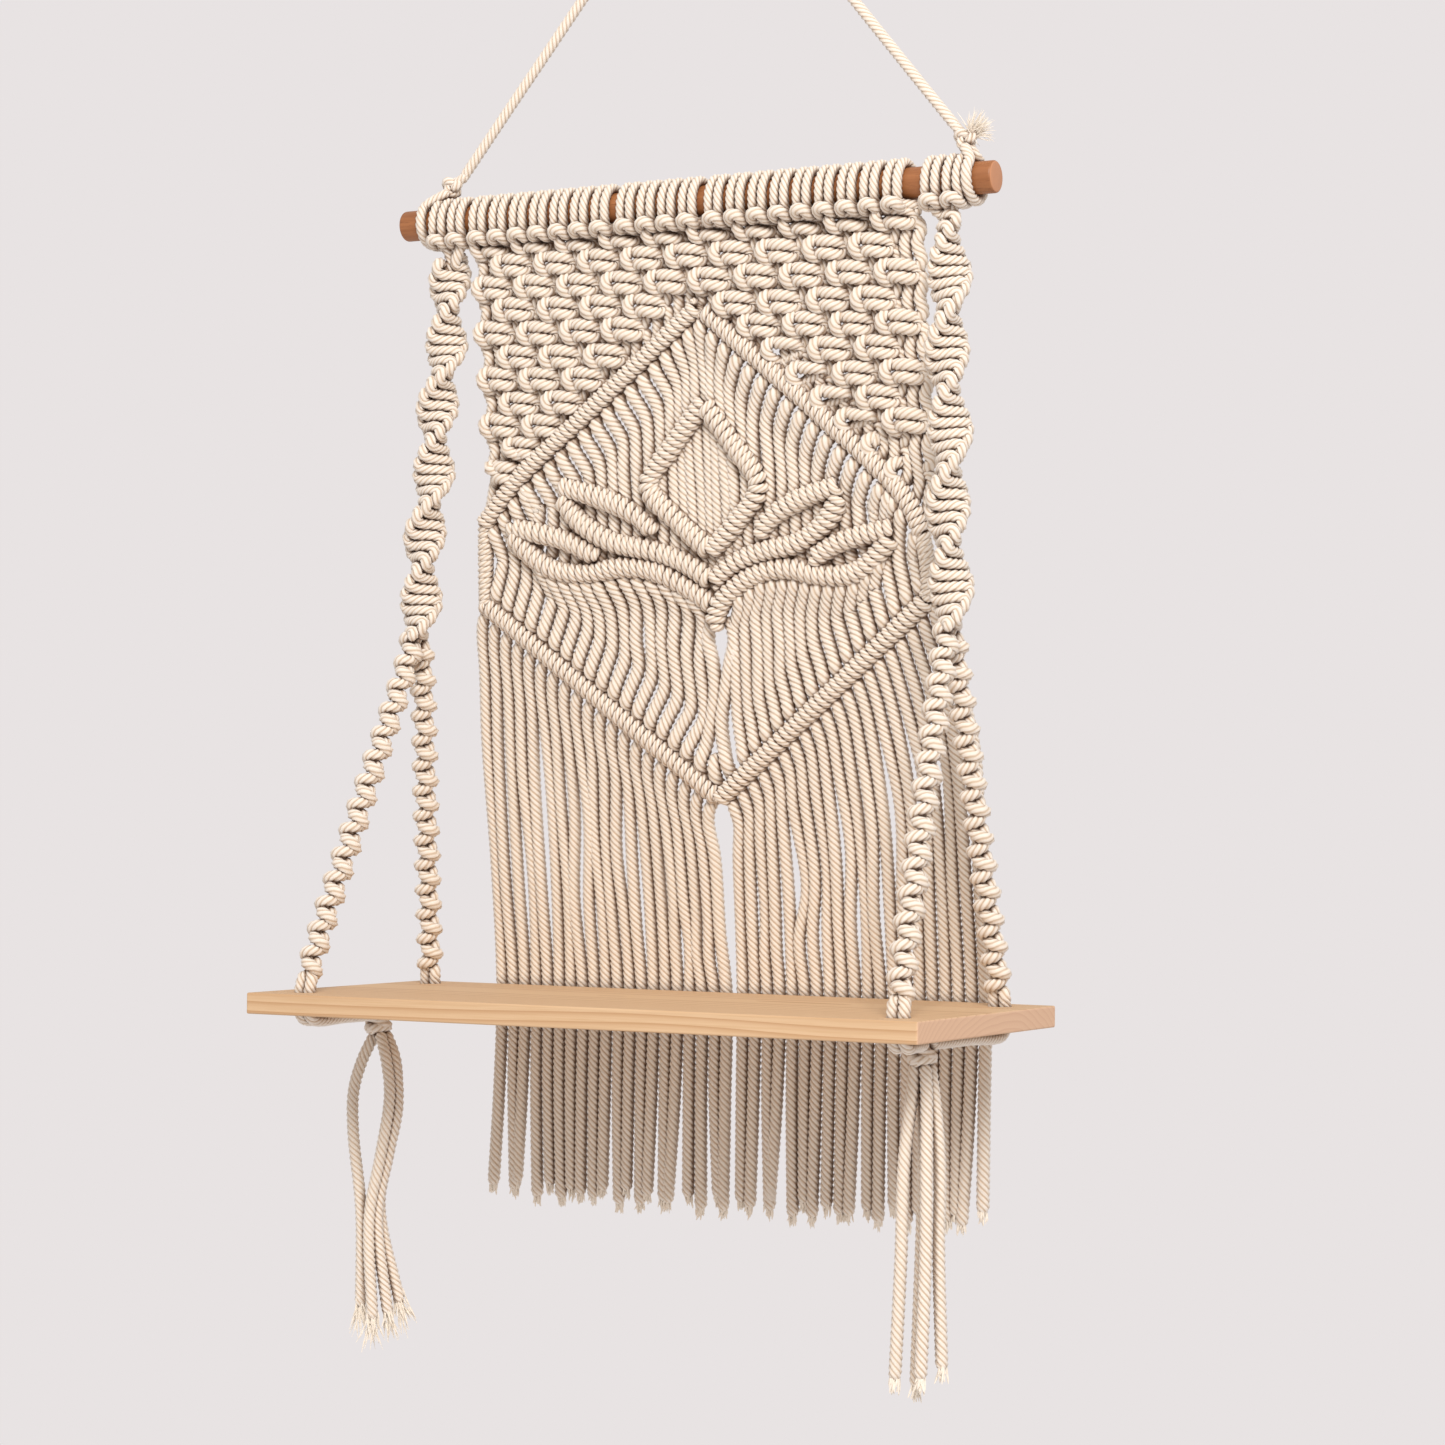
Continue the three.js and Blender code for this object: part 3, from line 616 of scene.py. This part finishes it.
# A square knot's four cords, from the left: across from its middle, down, and out of the cloth
SQUARE_KNOT = [
    [(-9.5, -5.7, 0), (-8.8, -4.9, 0.2), (-6.2, -3.4, 2.6), (-1.5, -2.9, 4.7), (2.6, -2.7, 4.3),
     (5.5, -2, 1.8), (6.9, 0.3, 0.2), (6.4, 2.9, 1.2), (4, 3.7, 3.6), (-0.5, 2.7, 4.9),
     (-5.2, 2.4, 3.3), (-8.2, 4.2, 0), (-9.55, 5.7, 0)],
    [(-2.7, -5.7, 0), (-2.6, 0, 0), (-2.7, 5.7, 0)],
    [(2.7, -5.7, 0), (2.6, 0, 0), (2.7, 5.7, 0)],
    [(9.5, -5.7, 0), (9.3, -4.4, 0), (8.5, -2.6, 0), (6.2, -1, -1.6), (2, -1.2, -3.8), (-3, -2.6, -3.8),
     (-6.4, -4.6, 0.6), (-8.8, -3.2, 4.8), (-9.9, 0, 6.2), (-8.8, 3.2, 4.8), (-6.4, 4.8, 0.6),
     (-3, 2.6, -3.8), (2, 1.6, -3.8), (6.4, 1.4, -1.8), (8.8, 2.8, -0.4), (9.5, 4.6, -0.2), (9.55, 5.7, 0)],
]
KNOT_SLACK = random.normal(0, KNOTS["uneven"], (KNOTS["rows"], CORDS["count"] // 4, 3))


def knot_places(cord):
    """The square knots that a cord goes through: the row, which knot along it, and the cord's place there."""
    for row in range(KNOTS["rows"]):
        staggered = row % 2
        if staggered and not 2 <= cord < CORDS["count"] - 2:
            yield row, None, None
        else:
            yield row, *divmod(cord - 2 * staggered, 4)


def tail(cord):
    """A cord from the foot of its lark's head, through the square knots, to the diamond's upper bar."""
    bar = (cord - (CORDS["count"] - 1) / 2) * CORDS["pitch"]
    points = []
    for row, knot, place in knot_places(cord):
        tilt = KNOTS["slope"] * min(1, (row + 1) / KNOTS["settle"])
        depth = KNOTS["first"] + row * KNOTS["down"]
        if knot is None:
            depth += tilt * bar
            if depth + KNOTS["plain_room"] > upper_edge(bar):
                break
            points.append((bar - math.copysign(KNOTS["selvage"], bar), depth, KNOTS["plain_out"]))
            continue
        centre = (knot - (4 if row % 2 else 4.5)) * KNOTS["across"]
        depth += tilt * centre
        if depth + KNOTS["room"] > min(upper_edge(centre - 2), upper_edge(centre + 2)):
            break
        way = np.array(SQUARE_KNOT[place])
        way[1:-1] += KNOT_SLACK[row, knot] * (1, 1, 0.5)
        skip = 1 if points or place else 2
        points += [tuple(p) for p in way[skip:] + (centre, depth, 0)]
    bar *= CORDS["left"] if bar < 0 else CORDS["right"]
    while len(points) > 1 and points[-1][1] > upper_edge(bar) - KNOTS["lead"]:
        points.pop()
    points.append((bar, upper_edge(bar), 0))
    return on_cloth(points)


def head_places():
    for start, end in HEADS["groups"]:
        count = end - start
        low = start * HEADS["pitch"] + HEADS["open"] / 2
        step = (count * HEADS["pitch"] - HEADS["open"]) / count
        yield from (low + (i + 0.5) * step for i in range(count))


def tight_on_rod(line):
    """A cord's radius along a line, thinner where it is pulled round the rod."""
    from_axis = np.hypot(line[:, 1] - ROD["y"], line[:, 2] - ROD["z"])
    return np.interp(from_axis, ROD["grip"], (CORD["tight"], CORD["slack"]))


def knotted_cords():
    ways = []
    for i, x in enumerate(head_places()):
        ways.append(curve(np.vstack([tail(2 * i)[::-1], head(x), tail(2 * i + 1)])))
    half = len(ways) // 2
    for name, part in (("knotted_cords_left", ways[:half]), ("knotted_cords_right", ways[half:])):
        cords(name, part, ["knotted_panel"], [tight_on_rod(line) for line in part])


# Bars of double half hitches

def hitches(points, size=1.0):
    """A bar: cord wound along the line, in front of the cords that it ties, uneven as if done by hand."""
    centre = on_cloth([(across, depth, BAR["out"] * size) for across, depth in points])
    fine = curve(centre, BAR["step"])
    _, out, other = frames(fine)
    run = run_along(fine)
    marks = np.linspace(0, run[-1], max(3, int(run[-1] / BAR["mark"])))
    uneven = np.interp(run, marks, random.normal(0, BAR["uneven"], len(marks)))
    swell = BAR["coil"] * size * (1 + np.interp(run, marks, random.normal(0, BAR["swell"], len(marks))))
    angle = 2 * math.pi * (run / (BAR["pitch"] * size) + uneven)
    wound = fine + swell[:, None] * (np.cos(angle)[:, None] * out + np.sin(angle)[:, None] * other)
    return evenly(wound, CORD["step"])


def bars():
    diamond = [hitches(line, BAR_SIZES[name.split("_")[0]]) for name, line in DIAMOND.items()]
    cords("diamond_bars", diamond, ["knotted_panel"], BAR["cord"] * BAR_SIZES["arm"])
    flower = [hitches(line) for half in FLOWER_HALVES.values() for line in half.values()]
    cords("flower_bars", flower, ["knotted_panel"], BAR["cord"])


# The free cords inside the diamond

def cord_end(x, bar, towards, rows, swing, reach, rise):
    """The points of a free cord's end, on its way down from a bar above it or to a bar below it."""
    return [(x - share * swing, bar + towards * (near + far * reach), rise if out is None else out)
            for share, near, far, out in rows]


def free_cord(top, bottom, swing, end_rows):
    """A cord between two bars: out from under the upper one, towards the middle in a swing, and back."""
    (start_x, start), (end_x, end) = top, bottom
    reach = min(1, (end - start) / FREE_CORD["long"])
    swing *= reach * math.copysign(1, start_x)
    rise = random.uniform(*FREE_CORD["rise"])
    middle = end_x - swing
    points = cord_end(start_x, start, 1, BEAD_ABOVE, swing, reach, rise)
    high = start + BEAD_ABOVE[-1][1] + FREE_CORD["turn"] * reach
    points.append((middle + FREE_CORD["follow"] * (start_x - end_x), high, rise))
    low = end - BEAD_BELOW[0][1] - FREE_CORD["settle"] * reach
    for depth in np.arange(start + FREE_CORD["first"], low - FREE_CORD["last"], FREE_CORD["step"]):
        points.append((middle + random.normal(0, FREE_CORD["waver"]), depth, rise))
    points.append((middle, low, rise))
    points += cord_end(end_x, end, -1, end_rows, swing, reach, rise)
    return curve(on_cloth(points))


def free_cords():
    """The cords above the flower, those below and beside it, and those in the middle under its tip."""
    lines = [curve(on_cloth(points)) for points in MIDDLE_CORDS]
    clear = FREE_COUNT["clear"]
    for side, sizes in FREE.items():
        first, pitch = sizes["above"]
        for k in range(FREE_COUNT["side"]):
            x = side * (first + pitch * k)
            if abs(x) < clear + FREE_COUNT["overlap"]:
                swing = SWING["above"] * min(1, abs(x) / SWING["grows"])
                lines.append(free_cord((x, upper_edge(x)), (x, flower_edge(x)), swing, PLAIN_BELOW))
        first, pitch = sizes["below"]
        for k in range(1, FREE_COUNT["side"]):
            x = side * (first + pitch * k)
            near = max(0, 1 - (k - 1) / FREE_COUNT["near"])
            top = x + sizes["lean"] * near
            swing = SWING["below"] + sizes["bulge"] * near
            foot = (x, lower_edge(x))
            if abs(x) < clear:
                lines.append(free_cord((top, flower_edge(top) - FREE_COUNT["tuck"]), foot, swing, BEAD_BELOW))
            elif abs(x) < sizes["edge"]:
                lines.append(free_cord((x, upper_edge(x)), foot, SWING["beside"], BEAD_BELOW))
    return lines


def fringe_cord(number):
    """A cord below the diamond: it leaves the bar square to it and then hangs, behind the board."""
    count = CORDS["count"]
    side = -1 if number < count / 2 else 1
    place = (abs(number - (count - 1) / 2) - 0.5) / (count / 2 - 1)
    low = FRINGE["middle"] + (FRINGE["half"] - FRINGE["middle"]) * place
    root = FRINGE["root"] + (FRINGE["roots"][side] - FRINGE["root"]) * place
    start = lower_edge(side * root)
    stop = FRINGE["end"] + FRINGE["uneven"] * math.sin(number * FRINGE["beat"])
    stop -= FRINGE["rise"] * max(0, place - FRINGE["outer"])
    sway = random.normal(0, FRINGE["sway"], 3)
    lift = random.uniform(*FRINGE["lift"], 3)
    hangs = start + FRINGE["spread"]
    points = [(side * (root + x), start + depth, out) for x, depth, out in FRINGE_ROOT]
    points += [(side * (root * 0.6 + low * 0.4 + 3), start + 30, 0.4), (side * low + sway[0], hangs, lift[0])]
    reach = BOARD_DEPTH - hangs
    if reach > 30:
        points.append((side * low + sway[1], hangs + reach / 2, 0.5 * lift[1]))
    points += [(side * low, BOARD_DEPTH, 0), (side * low + 0.5 * sway[2], (BOARD_DEPTH + stop) / 2, 0),
               (side * low + 2 * sway[2], stop, 0)]
    return curve(on_cloth(points))


def cut_end(line):
    """A cord's last point, and the way that it points there."""
    way = line[-1] - line[-3]
    return line[-1], way / np.linalg.norm(way)


def hanging_threads():
    cords("diamond_cords", free_cords(), ["knotted_panel"], CORD["free"])
    lower = [fringe_cord(number) for number in range(CORDS["count"])]
    cords("fringe_cords", lower, ["fringe"], CORD["hanging"])
    frays("fringe_ends", [cut_end(line) for line in lower], ["fringe"], **FRAYS["fringe"])


# Straps: a spiral of half knots, then two chains of half hitches

# One working cord's way through two half knots: straight across the front of the core, down its side, across
# its back and down its other side. It goes across, out and down, in shares of the sennit's width, thickness
# and knot height.
HALF_KNOTS = [
    (0, 1.1, 0), (0.6, 1, 0.03), (0.95, 0.55, 0.12), (1.12, 0, 0.4), (1.05, -0.5, 0.75),
    (0.5, -1, 0.93), (0, -1.1, 0.95), (-0.6, -1, 0.95), (-1.05, -0.5, 0.9), (-1.28, 0.2, 1),
    (-1.3, 0.7, 1.4), (-1.1, 1.1, 1.8), (-0.6, 1.2, 2),
]


def spiral(name, strap):
    """A spiral of half knots, hung from two lark's heads on the rod."""
    start = np.array([strap["rod"], ROD["y"] - 2, ROD["z"] - 12])
    down = np.array(strap["split"], float) - start
    length = np.linalg.norm(down)
    down /= length
    out = FRONT - (FRONT @ down) * down
    out /= np.linalg.norm(out)
    side = np.cross(out, down)

    def turned(across, outward, distance):
        angle = (length - distance) * math.pi / strap["turn"] + math.pi / 2
        forward = outward * math.cos(angle) - across * math.sin(angle)
        sideways = outward * math.sin(angle) + across * math.cos(angle)
        return start + down * distance + out * forward + side * sideways

    workers = []
    for worker in (0, 1):
        points = []
        for cycle in range(int(length / SENNIT["knot"] / 2) + 1):
            for across, outward, drop in HALF_KNOTS:
                distance = (2 * cycle + worker + drop) * SENNIT["knot"] + SENNIT["lead"]
                if distance <= length + 1:
                    points.append(turned(across * SENNIT["wide"], outward * SENNIT["thick"], distance))
        workers.append(points)
    steps = np.arange(SENNIT["core_step"], length, SENNIT["core_step"])
    core = [[turned(shift, 0, distance) for distance in steps] for shift in (-SENNIT["core"], SENNIT["core"])]
    first = head(strap["rod"] - SENNIT["head"])
    second = head(strap["rod"] + SENNIT["head"])
    ways = [np.vstack([workers[0][::-1], first, core[0]]), np.vstack([core[1][::-1], second, workers[1]])]
    lines = [curve(way) for way in ways]
    cords(name, lines, [name], [np.minimum(tight_on_rod(line), SENNIT["cord"]) for line in lines])


def chain_route(strap, tassel, towards):
    """The middle of a lower strap: down to the board, through its hole and under it to the tassel's knot."""
    x, y, z = strap["split"]
    hole_x = strap["side"] * HOLE["x"]
    hole_y = BOARD["y"] + towards * HOLE["y"]
    under = BOARD["top"] - BOARD["thick"] - GAP - STEM["thick"]
    knot_x, knot_y = tassel["knot"]
    start = np.array([x, y + towards * (CHAIN["radius"] + GAP / 2), z - CHAIN["drop"]])
    hole = np.array([hole_x, hole_y, BOARD["top"] + CHAIN["above"]])
    stop_y = knot_y + towards * 2
    points = [
        start + (0, -towards * 3, 4), start - (0, 0, CHAIN["lead"]), (start + hole) / 2, hole,
        (hole_x, hole_y, BOARD["top"] - BOARD["thick"] / 2), (hole_x, hole_y, under + STEM["bend"]),
        (hole_x, hole_y - towards * STEM["bend"], under),
        ((hole_x + knot_x) / 2, (hole_y + stop_y) / 2, under), (knot_x, stop_y, under)]
    return curve(points, 0.4), np.linalg.norm(hole - start)


def chain(name, strap, tassel, towards):
    """Two cords that hitch round each other in turn, then lie side by side through the hole."""
    route, hitched = chain_route(strap, tassel, towards)
    ahead, side, _ = frames(route, ACROSS)
    out = np.cross(ahead, side)
    run = run_along(route)
    lines = []
    for cord, way in ((0, -1), (1, 1)):
        phase = (run / CHAIN["period"] + 0.5 * cord) % 1
        loop = np.where((phase > 0.5) & (run < hitched), 4 * math.pi * (phase - 0.5), 0)
        apart = np.where(run < hitched, CHAIN["apart"], STEM["apart"])
        sideways = way * (apart - CHAIN["loop"] * (1 - np.cos(loop)))
        outward = CHAIN["loop"] * np.sin(loop)
        lines.append(route + sideways[:, None] * side + outward[:, None] * out)
    cords(name, [curve(line[::4]) for line in lines], [name], CHAIN["cord"])


def tassel(name, spec):
    """The tails, tied in one overhand knot under the board."""
    x, y = spec["knot"]
    top = BOARD["top"] - BOARD["thick"] - GAP
    t = np.linspace(0, 1, 60)
    wraps = []
    for start, lean in WRAPS["starts_and_leans"]:
        angle = start + t * 2 * math.pi * WRAPS["turns"]
        wraps.append(np.column_stack([
            x + WRAPS["radius"] * np.cos(angle), y + WRAPS["radius"] * np.sin(angle),
            top - WRAPS["below"] - WRAPS["fall"] * t + lean * np.sin(angle + 0.6)]))
    tails = []
    low = top - KNOT["high"]
    for strand in spec["tails"]:
        first_x, first_y, _ = strand["way"][0]
        start = (x + math.copysign(KNOT["gather"], first_x), y + math.copysign(KNOT["gather"], first_y),
                 low + KNOT["sunk"])
        tails.append(curve([start, *((x + dx, y + dy, low - strand["length"] * share)
                                     for dx, dy, share in strand["way"])]))
    cords(name, [*(evenly(wrap, CORD["step"]) for wrap in wraps), *tails], [name], CORD["tail"])
    frays(name + "_ends", [cut_end(line) for line in tails], [name], reach=spec["loose"], **FRAYS["tassel"])


def hanger_knot(name, spec):
    """The hanging cord's end: once round the rod, then tied in an overhand knot above it, a trefoil."""
    loop, size = spec["loop"], spec["size"]
    middle = np.array(spec["knot"], float)
    reach = ROD["radius"] + CORD["radius"]
    turn = [(loop, ROD["y"] + reach * math.sin(a), ROD["z"] + reach * math.cos(a))
            for a in np.linspace(TIED["start"], TIED["start"] + TIED["sweep"], 12)]
    way_round = curve([middle + (0, -3, -3), *turn, middle + (0, 1, -2)])
    a = np.linspace(0, 2 * math.pi, 48)
    knot = middle + size * np.column_stack([
        np.sin(a) + 2 * np.sin(2 * a), -np.sin(3 * a), 0.9 * (np.cos(a) - 2 * np.cos(2 * a))])
    tuft = np.array(spec["tuft"], float)
    end = curve([middle, middle + 0.5 * tuft, middle + tuft])
    left = middle[0] < 0
    hung = np.array(HANGING_ROUTE[0 if left else -1], float)
    lead = curve([hung + 0.5 * (hung - middle), hung, middle])
    radii = [CORD["radius"], TIED["knot_cord"], TIED["knot_cord"], TIED["lead_cord"]]
    cords(name, [way_round, evenly(knot, CORD["step"]), end, lead], [name], radii)
    if not left:
        frays(name + "_tuft", [cut_end(end)], [name], **FRAYS["tuft"])


# Wooden pieces

def rod():
    """The rod, turned round with softened ends."""
    half, radius, ease, sides = ROD["length"] / 2, ROD["radius"], ROD["ease"], ROD["sides"]
    corner = [(radius - ease + ease * math.sin(a), half - ease + ease * math.cos(a))
              for a in np.linspace(0, math.pi / 2, 5)]
    straight = np.linspace(-half + ROD["clear"], half - ROD["clear"], ROD["rings"])
    profile = [(r, -x) for r, x in corner] + [(radius, x) for x in straight] + corner[::-1]
    angles = np.linspace(0, 2 * math.pi, sides, endpoint=False)
    points = [(x, ROD["y"] + r * math.cos(a), ROD["z"] + r * math.sin(a)) for r, x in profile for a in angles]
    faces = []
    for i in range(len(profile) - 1):
        here, ahead = i * sides, (i + 1) * sides
        for j in range(sides):
            right = (j + 1) % sides
            faces.append([here + j, ahead + j, ahead + right, here + right])
    faces += [list(range(sides)), list(range(len(points) - sides, len(points)))[::-1]]
    mesh = bpy.data.meshes.new("rod_wood")
    mesh.from_pydata((np.array(points) / 1000).tolist(), [], faces)
    mesh.shade_smooth()
    show("rod_wood", mesh, BEECH, ["rod"])


def prism(name, outline, low, high):
    """An upright block with the given outline, in millimetres."""
    count = len(outline)
    points = [(x, y, z) for z in (low, high) for x, y in outline]
    faces = [[i, (i + 1) % count, count + (i + 1) % count, count + i] for i in range(count)]
    faces += [list(range(count))[::-1], list(range(count, 2 * count))]
    mesh = bpy.data.meshes.new(name)
    mesh.from_pydata((np.array(points) / 1000).tolist(), [], faces)
    piece = bpy.data.objects.new(name, mesh)
    bpy.context.scene.collection.objects.link(piece)
    return piece


def hole_outline(x, y):
    angles = np.linspace(0, 2 * math.pi, HOLE["sides"], endpoint=False)
    return [(x + HOLE["radius"] * math.cos(a), y + HOLE["radius"] * math.sin(a)) for a in angles]


def shelf_board():
    """The board, drilled near its corners, its edges eased with sandpaper."""
    wide, deep = BOARD["width"] / 2, BOARD["depth"] / 2
    y, top, bottom = BOARD["y"], BOARD["top"], BOARD["top"] - BOARD["thick"]
    corners = [(-wide, y - deep), (wide, y - deep), (wide, y + deep), (-wide, y + deep)]
    blank = prism("board_blank", corners, bottom, top)
    drills = [prism("drill", hole_outline(sx * HOLE["x"], y + sy * HOLE["y"]), bottom - 5, top + 5)
              for sx in (-1, 1) for sy in (-1, 1)]
    for drill in drills:
        cut = blank.modifiers.new("hole", "BOOLEAN")
        cut.object = drill
        cut.operation = "DIFFERENCE"
    ease = blank.modifiers.new("eased", "BEVEL")
    ease.width = BOARD["ease"] / 1000
    ease.segments = 3
    ease.limit_method = "ANGLE"
    ease.angle_limit = math.radians(40)
    depsgraph = bpy.context.evaluated_depsgraph_get()
    mesh = bpy.data.meshes.new_from_object(blank.evaluated_get(depsgraph))
    mesh.name = "board_wood"
    for helper in [blank, *drills]:
        bpy.data.objects.remove(helper)
    mesh.materials.clear()
    show("board_wood", mesh, PINE, ["shelf_board"])


# Room light and floor

def area_light(name, place, target, size, power, colour):
    lamp = bpy.data.lights.new(name, "AREA")
    lamp.size = size
    lamp.energy = power
    lamp.color = srgb(colour)[:3]
    light = bpy.data.objects.new(name, lamp)
    way = np.array(place, float) - np.array(target, float)
    way /= np.linalg.norm(way)
    side = np.cross((0, 0, 1), way)
    side /= np.linalg.norm(side)
    columns = np.column_stack([side, np.cross(way, side), way, place])
    light.matrix_world = Matrix([*columns.tolist(), [0, 0, 0, 1]])
    bpy.context.scene.collection.objects.link(light)


def pale_room():
    """The room's light from all round. It lights less than it shows, as the room's far side is darker."""
    world = bpy.data.worlds.new("soft_room")
    bpy.context.scene.world = world
    world.use_nodes = True
    tree = world.node_tree
    tree.nodes.clear()
    shaded = add(tree, "Background", {"Color": srgb("#e6dfdb"), "Strength": 0.78})
    seen = add(tree, "Background", {"Color": srgb("#e8e3e3"), "Strength": 1.0})
    seen_or_not = add(tree, "LightPath").outputs[0]
    room = add(tree, "MixShader", None, {0: seen_or_not, 1: shaded.outputs[0], 2: seen.outputs[0]})
    add(tree, "OutputWorld", None, {"Surface": room.outputs[0]})


def pale_floor():
    material, tree = new_material("pale_floor")
    shader = add(tree, "BsdfPrincipled", {"Base Color": srgb(FLOOR["colour"]), "Roughness": 0.8})
    add(tree, "OutputMaterial", None, {"Surface": shader.outputs[0]})
    angles = np.linspace(0, 2 * math.pi, FLOOR["sides"], endpoint=False)
    rim = [(FLOOR["radius"] * math.cos(a), FLOOR["radius"] * math.sin(a), FLOOR["z"]) for a in angles]
    mesh = bpy.data.meshes.new("floor")
    mesh.from_pydata(rim, [], [list(range(len(rim)))])
    mesh.materials.append(material)
    floor = bpy.data.objects.new("floor", mesh)
    bpy.context.scene.collection.objects.link(floor)


rod()
shelf_board()
knotted_cords()
bars()
hanging_threads()
for place in ("left", "right"):
    spiral("strap_upper_" + place, STRAPS[place])
    chain("strap_front_" + place, STRAPS[place], TASSELS[place], -1)
    chain("strap_back_" + place, STRAPS[place], TASSELS[place], 1)
    tassel("tassel_" + place, TASSELS[place])
    hanger_knot("hanger_knot_" + place, HANGER[place])
pale_room()
area_light("window", **WINDOW)
pale_floor()
bpy.context.scene.view_settings.view_transform = "Standard"
